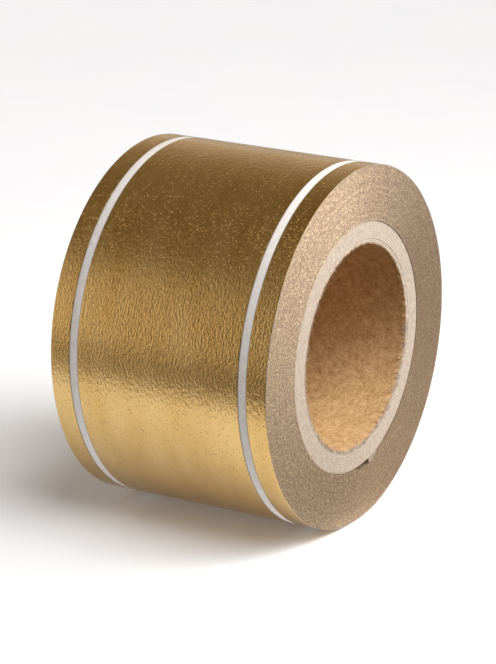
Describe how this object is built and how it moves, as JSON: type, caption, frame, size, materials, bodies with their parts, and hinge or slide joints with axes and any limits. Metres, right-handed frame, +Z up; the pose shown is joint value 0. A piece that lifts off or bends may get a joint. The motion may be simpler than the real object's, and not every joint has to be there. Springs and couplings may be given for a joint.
{
  "type": "roll of sign vinyl",
  "caption": "Roll of gold metallised self-adhesive film on a white release liner, wound on a thick paperboard core, with two narrow cut channels around it and a loose tail.",
  "frame": {"origin": "centre of the roll on its axis, halfway between the two end faces", "axes": "+X along the roll's axis towards the end face where the web winds anticlockwise outwards, +Z up with the roll lying on its curved side, +Y across the roll on its back"},
  "size_m": [0.0888, 0.1338, 0.1337],
  "materials": {
    "gold_film": "metallised gold film, finely crinkled",
    "release_liner": "satin white silicone-coated paper",
    "wound_web": "cut edges of pressed film and liner",
    "core_board": "matt uncoated paperboard",
    "core_wrap": "matt pale paper",
    "kraft_bore_liner": "matt brown kraft paper",
    "mounting_tape": "thin double-sided tape"
  },
  "bodies": {
    "roll": {"core_bore_liner": "kraft_bore_liner", "core_board_ply_01": "core_board", "core_board_ply_02": "core_board", "core_board_ply_03": "core_board", "core_board_ply_04": "core_board", "core_board_ply_05": "core_board", "core_board_ply_06": "core_board", "core_board_ply_07": "core_board", "core_board_ply_08": "core_board", "core_board_ply_09": "core_board", "core_board_ply_10": "core_board", "core_outer_wrap": "core_wrap", "start_mounting_tape": "mounting_tape", "web_start_fold": "release_liner", "wound_turns": "wound_web", "outer_turn_liner": "release_liner", "outer_turn_left_film": "gold_film", "outer_turn_centre_film": "gold_film", "outer_turn_right_film": "gold_film"},
    "tail": {"tail_liner": "release_liner", "tail_left_film": "gold_film", "tail_centre_film": "gold_film", "tail_right_film": "gold_film"},
    "left_tip": {"left_film_tip": "gold_film"},
    "centre_tip": {"centre_film_tip": "gold_film"},
    "right_tip": {"right_film_tip": "gold_film"}
  },
  "joints": [
    {"name": "tail_lift", "type": "hinge", "parent": "roll", "child": "tail", "pos_m": [0, 0.06354, 0.02157], "axis": [-1, 0, 0], "range_deg": [0, 75]},
    {"name": "left_film_peel", "type": "hinge", "parent": "tail", "child": "left_tip", "pos_m": [-0.04043, 0.05046, 0.04425], "axis": [-1, 0, 0], "range_deg": [0, 120]},
    {"name": "centre_film_peel", "type": "hinge", "parent": "tail", "child": "centre_tip", "pos_m": [0, 0.05046, 0.04425], "axis": [-1, 0, 0], "range_deg": [0, 120]},
    {"name": "right_film_peel", "type": "hinge", "parent": "tail", "child": "right_tip", "pos_m": [0.04043, 0.05046, 0.04425], "axis": [-1, 0, 0], "range_deg": [0, 120]}
  ]
}
